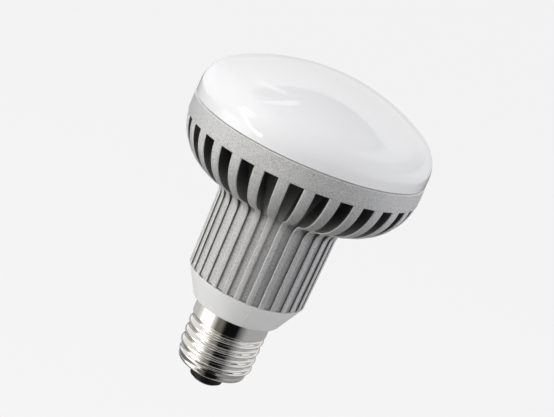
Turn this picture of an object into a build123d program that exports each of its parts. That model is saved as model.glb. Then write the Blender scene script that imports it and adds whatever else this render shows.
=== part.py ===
from build123d import *
import os
from math import asin, atan2, copysign, cos, degrees, hypot, radians, sin, sqrt, tan

# An LED reflector lamp with a 27 mm Edison screw cap. It stands along +Z on its cap, and the origin is at
# the flat tip of the centre contact. Lengths are millimetres and angles are degrees.

# Fits
slip_gap = 0.15  # radial play of a piece that slides into another
snug_gap = 0.05  # play of a piece that is pressed, glued or soldered in place

# Cap
contact_radius = 4.7
contact_head = 0.9
contact_stem_radius = 1.5
contact_stem_length = 7.0
insulator_tip_radius = 5.7
insulator_rise = 2.4
insulator_flange_radius = 8.6
insulator_depth = 3.6
shell_mouth_radius = 6.4
shell_wall = 0.4
shoulder_slope = 24.0
shoulder_round = 1.0
shoulder_height = 3.2
thread_crest_radius = 13.1
thread_root_radius = 12.0
thread_pitch = 3.629
thread_ridges = 4
thread_fade = 0.5
band_height = 5.1
band_step = 0.2
band_entry = 2.5

# Driver housing: the stub in the cap, the visible collar and the tube in the neck
stub_bore_radius = 9.8
stub_tip_radius = 11.3
stub_tip_rise = 5.0
groove_roof = 0.6
collar_height = 10.1
collar_base_radius = 15.3
collar_top_radius = 20.6
collar_lip_round = 1.0
collar_edge_round = 0.3
tube_radius = 17.4
tube_wall = 2.2
tube_floor_rise = 5.5
boss_inset = 1.6
boss_radius = 2.7
boss_length = 10.0
lid_thickness = 1.2
lid_recess = 3.0
lid_step = 0.6
lid_wire_hole_radius = 5.0

# Heat sink casting
sink_height = 53.9
rim_radius = 40.0
rim_height = 6.5
rim_edge_round = 0.3
fin_count = 30
fin_angle = 5.4
fin_step = 0.2
fin_root = 0.4
fin_rim_depth = 3.5
belly_width = 18.0
belly_center_drop = 4.95
neck_top_radius = 21.0
neck_fillet = 6.0
rib_height = 0.75
cone_foot_rise = 28.6
cone_round = 3.0
bowl_wall = 2.2

# Diffuser and its bead
diffuser_setback = 0.2
diffuser_wall = 2.0
diffuser_skirt = 2.8
diffuser_knuckle = 11.7
diffuser_crown = 68.0
diffuser_step = 1.2
shadow_gap = 0.1
rebate_depth = 2.5
seat_width = 2.75
bead_width = 1.1
bead_height = 1.2

# Light engine
plate_depth = 12.5
plate_thickness = 3.0
plate_ledge = 2.6
flare_rise = 2.5
pad_thickness = 0.3
pad_margin = 0.4
led_board_margin = 1.3
led_board_thickness = 1.6
wire_hole_radius = 4.6
led_side = 3.0
led_height = 0.8
led_window_radius = 1.2
led_window_depth = 0.15
led_edge_margin = 4.8
led_ring_gap = 5.5
inner_led_count = 8
inner_led_start = 22.5
outer_led_count = 12
board_screw_margin = 4.3
board_screw_count = 3
board_screw_start = 15.0
board_screw_radius = 1.2
board_screw_head_radius = 2.2
board_screw_head_height = 1.5
board_screw_bite = 2.4
housing_screw_count = 2
housing_screw_start = 90.0
housing_screw_radius = 1.25
housing_screw_head_radius = 2.5
housing_screw_head_height = 1.4
housing_screw_bite = 9.0
head_hole_play = 0.4
screw_slot_width = 0.5
screw_slot_depth = 0.6

# Driver, with places above the board's lower edge and in from its right edge, or its left where negative
driver_board_headroom = 1.9
driver_board_thickness = 1.6
driver_board_margin = 0.2
bulk_capacitor_radius = 5.0
bulk_capacitor_length = 15.0
bulk_capacitor_place = (-7.5, 4.5)
output_capacitor_radius = 4.0
output_capacitor_length = 11.5
output_capacitor_place = (8.2, 4.5)
can_edge_round = 0.6
film_capacitor_size = (12.0, 6.0, 10.0)
film_capacitor_place = (8.0, 14.0)
box_edge_round = 0.5
safety_capacitor_radius = 4.2
safety_capacitor_thickness = 3.4
safety_capacitor_place = (-8.0, 17.0)
bridge_rectifier_size = (7.0, 2.6, 6.5)
bridge_rectifier_place = (-8.0, 4.0)
fuse_resistor_radius = 1.8
fuse_resistor_length = 10.0
fuse_resistor_place = (8.5, 2.5)
control_chip_size = (4.0, 1.6, 5.0)
control_chip_place = (-8.0, 25.0)
chip_leg_pitch = 1.27
chip_leg_size = (6.0, 0.4, 0.5)
choke_radius = 4.2
choke_height = 7.5
choke_flange = 1.2
choke_groove = 0.7
choke_place = (9.5, 30.0)
transformer_offset = 0.4
transformer_rise = 20.5
core_width = 12.8
core_depth = 5.0
core_height = 12.8
core_yoke = 2.4
core_leg = 3.2
bobbin_wall = 0.7
bobbin_reach = 2.7
winding_round = 1.5
lead_radius = 0.7
mains_lead_spread = 4.0
mains_lead_tail = 2.5
light_lead_spread = 2.0
light_lead_tail = 3.0
light_lead_reach = 5.5
light_lead_lift = 0.3

# Heights, stacked from the tip of the cap
shell_bottom = contact_head + insulator_rise
shoulder_top = shell_bottom + shoulder_height
band_bottom = shoulder_top + thread_pitch * (thread_ridges + 0.5)
collar_bottom = band_bottom + band_height
band_top = collar_bottom + band_entry
neck_bottom = collar_bottom + collar_height
rim_top = neck_bottom + sink_height
rim_bottom = rim_top - rim_height
seat_height = rim_top - rebate_depth
plate_bottom = rim_top - plate_depth
plate_top = plate_bottom + plate_thickness
led_board_bottom = plate_top + pad_thickness
led_board_top = led_board_bottom + led_board_thickness
lid_bottom = plate_bottom - lid_recess
stub_bottom = shoulder_top + stub_tip_rise
floor_bottom = band_top + groove_roof
driver_board_bottom = floor_bottom + tube_floor_rise
driver_board_top = lid_bottom - driver_board_headroom
board_face = driver_board_thickness / 2

UPRIGHT = (Align.CENTER, Align.CENTER, Align.MIN)


def on_arc(center, radius, angle):
    """A point of a half section on a circle, at an angle from the radius axis."""
    return (center[0] + radius * cos(radians(angle)), center[1] + radius * sin(radians(angle)))


def section_arc(center, radius, start, end):
    """An arc of a half section between two angles."""
    middle = (start + end) / 2
    return ThreePointArc(*(on_arc(center, radius, angle) for angle in (start, middle, end)))


def turned(edges, sweep_angle=360):
    """A body turned about the lamp's axis from the edges of a half section in radius and height."""
    return revolve(Plane.XZ * make_face(edges), Axis.Z, sweep_angle)


def post(radius, bottom, top, x=0.0, y=0.0):
    """An upright round bar between two heights."""
    return Pos(x, y, bottom) * Cylinder(radius, top - bottom, align=UPRIGHT)


def around(circle_radius, count, start):
    """Places evenly spaced on a circle about the lamp's axis."""
    angles = [start + index * 360 / count for index in range(count)]
    return [Rot(0, 0, angle) * Pos(circle_radius, 0, 0) for angle in angles]


def save(name, shape):
    export_step(shape, f"parts/{name}.step")


os.makedirs("parts", exist_ok=True)

# Screw shell: drawn brass, open at the tip, with a round thread whose turns are drawn as parallel ridges
slope_rise = tan(radians(shoulder_slope))
shoulder_lift = shell_wall / cos(radians(shoulder_slope))
throat_radius = thread_root_radius - shell_wall
entry_radius = thread_crest_radius - band_step
thread_depth = thread_crest_radius - thread_root_radius
thread_round = (thread_pitch**2 / 4 + thread_depth**2) / (4 * thread_depth)
flank_angle = degrees(atan2(thread_pitch / 2, 2 * thread_round - thread_depth))


def thread_points(inset):
    """The corners of one skin of the thread, three chords to a round; its first ridge is lower."""
    points = []
    last = 2 * thread_ridges + 1
    for half_turn in range(last + 1):
        height = shoulder_top + half_turn * thread_pitch / 2
        shares = [-1, -1 / 3, 1 / 3]
        if half_turn == 0:
            shares = [0, 1 / 3]
        if half_turn == last:
            shares = [-1, -1 / 3, 0]
        for share in shares:
            if half_turn % 2:
                fade = thread_fade if half_turn == 1 else 0
                crest_center = (thread_crest_radius - thread_round - fade, height)
                points.append(on_arc(crest_center, thread_round - inset, share * flank_angle))
            else:
                root_center = (thread_root_radius + thread_round, height)
                points.append(on_arc(root_center, thread_round + inset, 180 - share * flank_angle))
    return points


def shell_skin(inset, lift):
    """One skin of the shell's wall: the shoulder, the thread and the plain band with its entry."""
    root = thread_root_radius - inset
    step = collar_bottom - inset
    points = [
        (shell_mouth_radius, shell_bottom + lift),
        (root, shell_bottom + lift + (root - shell_mouth_radius) * slope_rise),
        *thread_points(inset),
        (thread_crest_radius - inset, step),
        (entry_radius - inset, step),
        (entry_radius - inset, band_top),
    ]
    return FilletPolyline(*points, radius=[shoulder_round - inset] + [0] * (len(points) - 3))


shell_outside = shell_skin(0, 0)
shell_inside = shell_skin(shell_wall, shoulder_lift)
shell_ends = [Line(shell_outside @ end, shell_inside @ end) for end in (0, 1)]
save("screw_shell", turned([shell_outside, shell_inside, *shell_ends]))

# Insulator: black moulding that fills the shell's mouth and holds the contact
plug_radius = shell_mouth_radius - snug_gap
stem_hole_radius = contact_stem_radius + snug_gap
flange_bottom = shell_bottom + shoulder_lift + snug_gap
insulator_top = flange_bottom + insulator_depth
insulator_edges = Polyline(
    (stem_hole_radius, contact_head),
    (insulator_tip_radius, contact_head),
    (plug_radius, shell_bottom),
    (plug_radius, flange_bottom),
    (insulator_flange_radius, flange_bottom + (insulator_flange_radius - plug_radius) * slope_rise),
    (insulator_flange_radius, insulator_top),
    (stem_hole_radius, insulator_top),
    close=True,
)
save("insulator", turned(insulator_edges))

# Centre contact: brass rivet with a flat head
contact_stem_top = contact_head + contact_stem_length
contact = post(contact_radius, 0, contact_head)
contact = fillet(contact.edges().sort_by(Axis.Z)[0], contact_head / 2)
contact += post(contact_stem_radius, contact_head, contact_stem_top)
save("centre_contact", contact)

# Driver housing: one white moulding, the stub in the cap, the collar and the tube in the neck
groove_inner_radius = entry_radius - shell_wall - slip_gap
groove_outer_radius = entry_radius + slip_gap
tube_bore_radius = tube_radius - tube_wall
lid_bore_radius = tube_bore_radius + lid_step
housing_edges = FilletPolyline(
    (stub_bore_radius, stub_bottom),
    (stub_tip_radius, stub_bottom),
    (stub_tip_radius, band_bottom),
    (groove_inner_radius, band_bottom),
    (groove_inner_radius, band_top),
    (groove_outer_radius, band_top),
    (groove_outer_radius, collar_bottom),
    (collar_base_radius, collar_bottom),
    (collar_top_radius, neck_bottom),
    (tube_radius, neck_bottom),
    (tube_radius, plate_bottom),
    (lid_bore_radius, plate_bottom),
    (lid_bore_radius, lid_bottom),
    (tube_bore_radius, lid_bottom),
    (tube_bore_radius, driver_board_bottom),
    (stub_bore_radius, floor_bottom),
    radius=[0] * 7 + [collar_lip_round, collar_edge_round] + [0] * 7,
    close=True,
)
housing_screw_places = around(tube_bore_radius - boss_inset, housing_screw_count, housing_screw_start)
boss = post(boss_radius, plate_bottom - boss_length, plate_bottom)
boss_hole = post(housing_screw_radius + snug_gap, plate_bottom - boss_length, plate_bottom)
housing = turned(housing_edges)
housing += [place * boss for place in housing_screw_places]
housing -= [place * boss_hole for place in housing_screw_places]
save("driver_housing", housing)

# Driver lid: insulating disc on the step at the top of the tube, notched round the screw bosses
lid_top = lid_bottom + lid_thickness
lid_notch = post(boss_radius + slip_gap, lid_bottom, lid_top)
lid = post(lid_bore_radius - slip_gap, lid_bottom, lid_top)
lid -= post(lid_wire_hole_radius, lid_bottom, lid_top)
lid -= [place * lid_notch for place in housing_screw_places]
save("driver_lid", lid)

# Heat sink: one die casting, a bowl, neck and rim with fins that run from the rim down to the collar
neck_bore_radius = tube_radius + slip_gap
diffuser_radius = rim_radius - diffuser_setback
spigot_radius = diffuser_radius - diffuser_step
rebate_radius = spigot_radius + slip_gap
seat_inner_radius = rebate_radius - seat_width
fin_top_radius = rim_radius - fin_step
groove_radius = neck_top_radius - rib_height
cone_foot = neck_bottom + cone_foot_rise
cone_spread = (fin_top_radius - fin_rim_depth - groove_radius) / (rim_bottom - cone_foot)


def cone_radius(height):
    """The radius of the floor between the fins where it runs out as a cone under the rim."""
    return groove_radius + (height - cone_foot) * cone_spread


def gap_floor(inset, top):
    """The outline of the floor between the fins, up the neck and out along the cone to a height."""
    return FilletPolyline(
        (collar_top_radius - rib_height - inset, neck_bottom),
        (groove_radius - inset, cone_foot),
        (cone_radius(top) - inset, top),
        radius=cone_round,
    )


bowl_inset = bowl_wall * hypot(1, cone_spread)
plate_wall_radius = cone_radius(plate_bottom) - bowl_inset
ledge_radius = plate_wall_radius - plate_ledge


def bowl_height(radius):
    """The height at which the bowl's inner cone, one wall inside the floor, reaches a radius."""
    return cone_foot + (radius + bowl_inset - groove_radius) / cone_spread


sink_floor = gap_floor(0, rim_bottom)
sink_inside = FilletPolyline(
    sink_floor @ 1,
    (rim_radius, rim_bottom),
    (rim_radius, rim_top),
    (rebate_radius, rim_top),
    (rebate_radius, seat_height),
    (seat_inner_radius, seat_height),
    (plate_wall_radius, plate_bottom + flare_rise),
    (plate_wall_radius, plate_bottom),
    (ledge_radius, plate_bottom),
    (ledge_radius, bowl_height(ledge_radius)),
    (neck_bore_radius, bowl_height(neck_bore_radius)),
    (neck_bore_radius, neck_bottom),
    sink_floor @ 0,
    radius=[0, rim_edge_round] + [0] * 9,
)
sink = turned([sink_floor, sink_inside])

fin_top = rim_bottom + fin_root
belly_center = (fin_top_radius - belly_width, rim_top - belly_center_drop)
belly_radius = hypot(belly_width, rim_bottom - belly_center[1])
fillet_across = neck_top_radius + neck_fillet - belly_center[0]
fillet_drop = sqrt((belly_radius + neck_fillet) ** 2 - fillet_across**2)
fillet_center = (neck_top_radius + neck_fillet, belly_center[1] - fillet_drop)
belly_start = degrees(atan2(-fillet_drop, fillet_across))
belly_end = degrees(asin((fin_top - belly_center[1]) / belly_radius))
fin_outside = [
    Line((collar_top_radius, neck_bottom), (neck_top_radius, fillet_center[1])),
    section_arc(fillet_center, neck_fillet, 180, belly_start + 180),
    section_arc(belly_center, belly_radius, belly_start, belly_end),
]
fin_inside = gap_floor(fin_root, fin_top)
fin_ends = [
    Line(fin_outside[0] @ 0, fin_inside @ 0),
    Line(fin_outside[-1] @ 1, fin_inside @ 1),
]
fin = Rot(0, 0, -fin_angle / 2) * turned([*fin_outside, fin_inside, *fin_ends], fin_angle)
fin_places = [Rot(0, 0, index * 360 / fin_count) for index in range(fin_count)]
save("heat_sink", sink + [place * fin for place in fin_places])

# Diffuser: opal dome with a shallow crown, a rounded knuckle and a spigot that steps in to fit the rim
knuckle_center = (diffuser_radius - diffuser_knuckle, rim_top + diffuser_skirt)
crown_drop = sqrt((diffuser_crown - diffuser_knuckle) ** 2 - knuckle_center[0] ** 2)
crown_center = (0, knuckle_center[1] - crown_drop)
crown_angle = degrees(atan2(crown_drop, knuckle_center[0]))


def dome(inset):
    """The dome's outline from the top of its skirt to the axis, drawn in by an inset."""
    return [
        section_arc(knuckle_center, diffuser_knuckle - inset, 0, crown_angle),
        section_arc(crown_center, diffuser_crown - inset, crown_angle, 90),
    ]


dome_outside = dome(0)
dome_inside = dome(diffuser_wall)
skirt_bottom = rim_top + shadow_gap
skirt_edges = Polyline(
    dome_outside[0] @ 0,
    (diffuser_radius, skirt_bottom),
    (spigot_radius, skirt_bottom),
    (spigot_radius, seat_height),
    (diffuser_radius - diffuser_wall, seat_height),
    dome_inside[0] @ 0,
)
dome_axis = Line(dome_outside[-1] @ 1, dome_inside[-1] @ 1)
save("diffuser", turned([*dome_outside, *dome_inside, skirt_edges, dome_axis]))

# Seal bead: silicone run into the corner between the diffuser's skirt and its seat
bead_radius = diffuser_radius - diffuser_wall - snug_gap
bead_edges = Polyline(
    (bead_radius, seat_height),
    (bead_radius, seat_height + bead_height),
    (bead_radius - bead_width, seat_height),
    close=True,
)
save("seal_bead", turned(bead_edges))

# Light engine: plate on the bowl's ledge, thermal pad and LED board, drilled for the screws and wires
plate_radius = plate_wall_radius - slip_gap
led_board_radius = plate_radius - led_board_margin
board_screw_places = around(led_board_radius - board_screw_margin, board_screw_count, board_screw_start)


def drilled_disc(radius, bottom, top, housing_hole, board_hole):
    """A round sheet with the wire hole and the two rings of screw holes."""
    disc = post(radius, bottom, top) - post(wire_hole_radius, bottom, top)
    disc -= [place * post(housing_hole, bottom, top) for place in housing_screw_places]
    disc -= [place * post(board_hole, bottom, top) for place in board_screw_places]
    return disc


board_hole = board_screw_radius + snug_gap
plate_hole = housing_screw_radius + snug_gap
head_hole = housing_screw_head_radius + head_hole_play
pad_radius = led_board_radius - pad_margin
save("mounting_plate", drilled_disc(plate_radius, plate_bottom, plate_top, plate_hole, board_hole))
save("thermal_pad", drilled_disc(pad_radius, plate_top, led_board_bottom, head_hole, board_hole))
save("led_board", drilled_disc(led_board_radius, led_board_bottom, led_board_top, head_hole, board_hole))

# LED packages: small square bodies in two rings, each with a round window
led = Pos(0, 0, led_board_top) * Box(led_side, led_side, led_height, align=UPRIGHT)
led_top = led_board_top + led_height
led -= post(led_window_radius, led_top - led_window_depth, led_top)
outer_led_circle = led_board_radius - led_edge_margin
led_places = around(outer_led_circle - led_ring_gap, inner_led_count, inner_led_start)
led_places += around(outer_led_circle, outer_led_count, 0)
save("led_packages", Compound([place * led for place in led_places]))


# Screws: pan heads with a cross recess
def screw(head_radius, head_height, shank_radius, length, seat):
    """A screw along the lamp's axis, with its head's underside at a height."""
    head_top = seat + head_height
    head = post(head_radius, seat, head_top)
    head = fillet(head.edges().sort_by(Axis.Z)[-1], head_height / 2)
    slot = Box(head_radius, screw_slot_width, screw_slot_depth, align=UPRIGHT)
    slot = Pos(0, 0, head_top - screw_slot_depth) * slot
    return head + post(shank_radius, seat - length, seat) - slot - Rot(0, 0, 90) * slot


board_screw = screw(
    board_screw_head_radius,
    board_screw_head_height,
    board_screw_radius,
    led_board_thickness + pad_thickness + board_screw_bite,
    led_board_top,
)
housing_screw = screw(
    housing_screw_head_radius,
    housing_screw_head_height,
    housing_screw_radius,
    plate_thickness + housing_screw_bite,
    plate_top,
)
save("board_screws", Compound([place * board_screw for place in board_screw_places]))
save("housing_screws", Compound([place * housing_screw for place in housing_screw_places]))

# Driver board: upright in the tube, its lower corners on the floor of the bore
corner_radius = tube_bore_radius - driver_board_margin
driver_board_width = 2 * sqrt(corner_radius**2 - board_face**2)
driver_board_height = driver_board_top - driver_board_bottom
driver_board = Box(driver_board_width, driver_board_thickness, driver_board_height, align=UPRIGHT)
save("driver_board", Pos(0, 0, driver_board_bottom) * driver_board)


def across(inset):
    """A place across the board, in from its right edge, or from its left edge where negative."""
    return copysign(driver_board_width / 2 - abs(inset), inset)


def can(radius, length, place, face):
    """An upright round component against the front (+1) or back (-1) of the board."""
    bottom = driver_board_bottom + place[1]
    standoff = face * (board_face + radius + snug_gap)
    body = post(radius, bottom, bottom + length, across(place[0]), standoff)
    return fillet(body.edges().filter_by(GeomType.CIRCLE), can_edge_round)


def block(size, place, face):
    """A square component on the front (+1) or back (-1) of the board."""
    standoff = face * (board_face + size[1] / 2)
    standing = Pos(across(place[0]), standoff, driver_board_bottom + place[1])
    return standing * Box(*size, align=UPRIGHT)


def disc_on_back(radius, near, far, place):
    """A round of a component that stands out of the board's back, between two distances from it."""
    standing = Pos(across(place[0]), -board_face - near, driver_board_bottom + place[1])
    return standing * Rot(90, 0, 0) * Cylinder(radius, far - near, align=UPRIGHT)


# Capacitors, rectifier and fuse: the driver's mains side and its stores
save("bulk_capacitor", can(bulk_capacitor_radius, bulk_capacitor_length, bulk_capacitor_place, 1))
save("output_capacitor", can(output_capacitor_radius, output_capacitor_length, output_capacitor_place, 1))
save("fuse_resistor", can(fuse_resistor_radius, fuse_resistor_length, fuse_resistor_place, -1))
film_capacitor = block(film_capacitor_size, film_capacitor_place, -1)
save("film_capacitor", fillet(film_capacitor.edges().filter_by(Axis.Y), box_edge_round))
bridge_rectifier = block(bridge_rectifier_size, bridge_rectifier_place, -1)
save("bridge_rectifier", fillet(bridge_rectifier.edges().filter_by(Axis.Y), box_edge_round))
safety_capacitor = disc_on_back(
    safety_capacitor_radius, 0, safety_capacitor_thickness, safety_capacitor_place
)
save("safety_capacitor", fillet(safety_capacitor.edges().filter_by(GeomType.CIRCLE), can_edge_round))

# Control chip: a moulded body with two rows of legs that lie on the board
control_chip = block(control_chip_size, control_chip_place, -1)
leg_rows = int(control_chip_size[2] / chip_leg_pitch)
first_leg = (control_chip_size[2] - (leg_rows - 1) * chip_leg_pitch - chip_leg_size[2]) / 2
for row in range(leg_rows):
    leg_place = (control_chip_place[0], control_chip_place[1] + first_leg + row * chip_leg_pitch)
    control_chip += block(chip_leg_size, leg_place, -1)
save("control_chip", control_chip)

# Choke: wire wound flush on a drum between two flanges
choke = disc_on_back(choke_radius - choke_groove, 0, choke_height, choke_place)
choke += disc_on_back(choke_radius, 0, choke_flange, choke_place)
choke += disc_on_back(choke_radius, choke_height - choke_flange, choke_height, choke_place)
save("choke", choke)

# Transformer: ferrite frame with a centre leg, a bobbin on that leg and the winding on the bobbin
bobbin_height = core_height - 2 * core_yoke - 2 * snug_gap
bobbin_depth = core_depth + 2 * bobbin_wall + 2 * bobbin_reach
window_width = (core_width - core_leg) / 2 - core_yoke
bobbin_width = core_leg + 2 * window_width - 2 * snug_gap
transformer = Pos(
    transformer_offset,
    board_face + bobbin_depth / 2,
    driver_board_bottom + transformer_rise,
)
window = Pos((core_leg + window_width) / 2, 0, core_yoke) * Box(
    window_width, core_depth, core_height - 2 * core_yoke, align=UPRIGHT
)
core = Box(core_width, core_depth, core_height, align=UPRIGHT) - window - Rot(0, 0, 180) * window
save("transformer_core", transformer * core)

bobbin_bottom = core_yoke + snug_gap
sleeve_width = core_leg + 2 * bobbin_wall
sleeve_depth = core_depth + 2 * bobbin_wall
flange = Pos(0, 0, bobbin_bottom) * Box(bobbin_width, bobbin_depth, bobbin_wall, align=UPRIGHT)
bobbin = Pos(0, 0, bobbin_bottom) * Box(sleeve_width, sleeve_depth, bobbin_height, align=UPRIGHT)
bobbin += flange
bobbin += Pos(0, 0, bobbin_height - bobbin_wall) * flange
leg_hole = Box(core_leg + 2 * snug_gap, core_depth + 2 * snug_gap, core_height, align=UPRIGHT)
save("transformer_bobbin", transformer * (bobbin - leg_hole))

winding_height = bobbin_height - 2 * bobbin_wall - 2 * snug_gap
winding_section = RectangleRounded(bobbin_width, bobbin_depth - 2 * bobbin_wall, winding_round)
winding_section -= Rectangle(sleeve_width + 2 * snug_gap, sleeve_depth + 2 * snug_gap)
winding = Pos(0, 0, bobbin_bottom + bobbin_wall + snug_gap) * extrude(winding_section, winding_height)
save("transformer_winding", transformer * winding)


# Leads: round insulated wire in straight runs and tangent bends
def lead(points, bends):
    """A wire along a route of points, with a bend radius at each inner point."""
    route = FilletPolyline(*points, radius=bends)
    return sweep(Plane(route @ 0, z_dir=route % 0) * Circle(lead_radius), path=route)


lead_side = board_face + lead_radius + snug_gap
mains_tail_top = driver_board_bottom + mains_lead_tail
stub_middle = (stub_bottom + band_top) / 2
live_route = [
    (-mains_lead_spread, lead_side, mains_tail_top),
    (-mains_lead_spread, lead_side, band_top),
    (0, 0, stub_middle),
    (0, 0, contact_stem_top),
]
save("live_lead", lead(live_route, [8, 8]))
neutral_side = stub_bore_radius - 2 * lead_radius
neutral_level = shoulder_top + thread_pitch
neutral_route = [
    (mains_lead_spread, lead_side, mains_tail_top),
    (mains_lead_spread, lead_side, band_top),
    (neutral_side, 0, stub_middle),
    (neutral_side, 0, neutral_level),
    (throat_radius - snug_gap, 0, neutral_level),
]
save("neutral_lead", lead(neutral_route, [8, 8, 2 * lead_radius]))
light_level = led_board_top + lead_radius + light_lead_lift
for name, side in (("positive_lead", 1), ("negative_lead", -1)):
    light_route = [
        (side * light_lead_spread, lead_side, driver_board_top - light_lead_tail),
        (side * light_lead_spread, lead_side, light_level),
        (side * (light_lead_spread + light_lead_reach), lead_side, light_level),
    ]
    save(name, lead(light_route, 3 * lead_radius))
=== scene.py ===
from math import asin, atan2, ceil, cos, hypot, pi, radians, sin, sqrt, tan

import bpy
from mathutils import Matrix, Vector


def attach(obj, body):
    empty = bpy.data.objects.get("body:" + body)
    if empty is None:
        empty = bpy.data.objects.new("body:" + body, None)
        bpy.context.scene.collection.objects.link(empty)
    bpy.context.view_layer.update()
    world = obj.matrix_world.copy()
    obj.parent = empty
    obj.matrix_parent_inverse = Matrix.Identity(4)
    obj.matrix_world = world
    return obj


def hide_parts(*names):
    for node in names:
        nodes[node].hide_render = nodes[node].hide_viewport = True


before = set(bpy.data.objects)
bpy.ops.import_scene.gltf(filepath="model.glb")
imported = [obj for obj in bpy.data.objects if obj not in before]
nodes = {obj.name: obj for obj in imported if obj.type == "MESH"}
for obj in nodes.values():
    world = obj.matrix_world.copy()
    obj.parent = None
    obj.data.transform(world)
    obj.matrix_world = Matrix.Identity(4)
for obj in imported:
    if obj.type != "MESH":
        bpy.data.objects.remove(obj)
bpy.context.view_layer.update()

# Driver housing: one injection moulding in satin white plastic. Its cone is the collar that shows between
# the cap and the neck, its tube lines the neck and its stub carries the cap. A fine parting line is left
# down the cone where the two halves of the mould met.
MM = 0.001
BROAD_DETAIL = 3
FINE_DETAIL = 4
FINE_PER_BROAD = 5.3
MEAN_OF_BOTH = 1.0
SHARP_ANGLE = radians(32)


def skin_group():
    """The small unevenness of a worked surface: colour, roughness and relief that wander over it."""
    group = bpy.data.node_groups.new("worked skin", "ShaderNodeTree")
    sockets = group.interface
    sockets.new_socket("Color", in_out="INPUT", socket_type="NodeSocketColor")
    for name in ("Scale", "Mottle", "Roughness", "Roughness Spread"):
        sockets.new_socket(name, in_out="INPUT", socket_type="NodeSocketFloat")
    sockets.new_socket("Color", in_out="OUTPUT", socket_type="NodeSocketColor")
    sockets.new_socket("Roughness", in_out="OUTPUT", socket_type="NodeSocketFloat")
    sockets.new_socket("Height", in_out="OUTPUT", socket_type="NodeSocketFloat")
    new = group.nodes.new
    link = group.links.new
    given = new("NodeGroupInput")
    made = new("NodeGroupOutput")
    place = new("ShaderNodeTexCoord")
    broad = new("ShaderNodeTexNoise")
    broad.inputs["Detail"].default_value = BROAD_DETAIL
    fine_scale = new("ShaderNodeMath")
    fine_scale.operation = "MULTIPLY"
    fine_scale.inputs[1].default_value = FINE_PER_BROAD
    fine = new("ShaderNodeTexNoise")
    fine.inputs["Detail"].default_value = FINE_DETAIL
    link(place.outputs["Object"], broad.inputs["Vector"])
    link(place.outputs["Object"], fine.inputs["Vector"])
    link(given.outputs["Scale"], broad.inputs["Scale"])
    link(given.outputs["Scale"], fine_scale.inputs[0])
    link(fine_scale.outputs[0], fine.inputs["Scale"])
    both = new("ShaderNodeMath")
    both.operation = "ADD"
    link(broad.outputs["Fac"], both.inputs[0])
    link(fine.outputs["Fac"], both.inputs[1])
    centred = new("ShaderNodeMath")
    centred.operation = "SUBTRACT"
    centred.inputs[1].default_value = MEAN_OF_BOTH
    link(both.outputs[0], centred.inputs[0])
    shade = new("ShaderNodeMath")
    shade.operation = "MULTIPLY_ADD"
    shade.inputs[2].default_value = 1.0
    link(centred.outputs[0], shade.inputs[0])
    link(given.outputs["Mottle"], shade.inputs[1])
    tint = new("ShaderNodeHueSaturation")
    link(given.outputs["Color"], tint.inputs["Color"])
    link(shade.outputs[0], tint.inputs["Value"])
    link(tint.outputs["Color"], made.inputs["Color"])
    dull = new("ShaderNodeMath")
    dull.operation = "MULTIPLY_ADD"
    dull.use_clamp = True
    link(centred.outputs[0], dull.inputs[0])
    link(given.outputs["Roughness Spread"], dull.inputs[1])
    link(given.outputs["Roughness"], dull.inputs[2])
    link(dull.outputs[0], made.inputs["Roughness"])
    link(both.outputs[0], made.inputs["Height"])
    return group


worked_skin = skin_group()


def finish(name, color, roughness, scale, mottle, spread, relief, sockets=None, depth=0.05):
    """A material whose colour, roughness and relief come from the worked skin; the rest are plain values."""
    material = bpy.data.materials.new(name)
    material.use_nodes = True
    tree = material.node_tree
    shader = tree.nodes["Principled BSDF"]
    for socket, value in (sockets or {}).items():
        shader.inputs[socket].default_value = value
    skin = tree.nodes.new("ShaderNodeGroup")
    skin.node_tree = worked_skin
    skin.inputs["Color"].default_value = (*color, 1)
    skin.inputs["Scale"].default_value = scale
    skin.inputs["Mottle"].default_value = mottle
    skin.inputs["Roughness"].default_value = roughness
    skin.inputs["Roughness Spread"].default_value = spread
    bump = tree.nodes.new("ShaderNodeBump")
    bump.inputs["Strength"].default_value = relief
    bump.inputs["Distance"].default_value = depth * MM
    tree.links.new(skin.outputs["Color"], shader.inputs["Base Color"])
    tree.links.new(skin.outputs["Roughness"], shader.inputs["Roughness"])
    tree.links.new(skin.outputs["Height"], bump.inputs["Height"])
    tree.links.new(bump.outputs["Normal"], shader.inputs["Normal"])
    return material


def dress(node, material):
    """Gives a CAD node a material in every slot."""
    for slot in nodes[node].material_slots:
        slot.material = material


def piece(name, points, faces, material):
    """A mesh object from points in millimetres, riding on the lamp."""
    mesh = bpy.data.meshes.new(name)
    mesh.from_pydata([Vector(point) * MM for point in points], [], faces)
    mesh.validate()
    mesh.materials.append(material)
    mesh.polygons.foreach_set("use_smooth", [True] * len(mesh.polygons))
    mesh.set_sharp_from_angle(angle=SHARP_ANGLE)
    made = bpy.data.objects.new(name, mesh)
    bpy.context.scene.collection.objects.link(made)
    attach(made, "root")
    return made


white_moulding = finish(
    "satin white moulding",
    (0.84, 0.84, 0.83),
    roughness=0.38, scale=900, mottle=0.03, spread=0.10, relief=0.10,
    sockets={"Specular IOR Level": 0.45},
)
dress("driver_housing", white_moulding)

COLLAR_BOTTOM = 27.9305
COLLAR_TOP = 38.0305
COLLAR_BASE_RADIUS = 15.3
COLLAR_TOP_RADIUS = 20.6
PARTING_AZIMUTH = radians(-79)
PARTING_START = 0.12
PARTING_SPAN = 0.85
PARTING_STEPS = 12
PARTING_PROUD = 0.07
PARTING_SINK = 0.04
PARTING_HALF_CREST = 0.12
PARTING_HALF_FOOT = 0.30
PARTING_CORNERS = 4
CONE_TILT = 0.5

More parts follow.
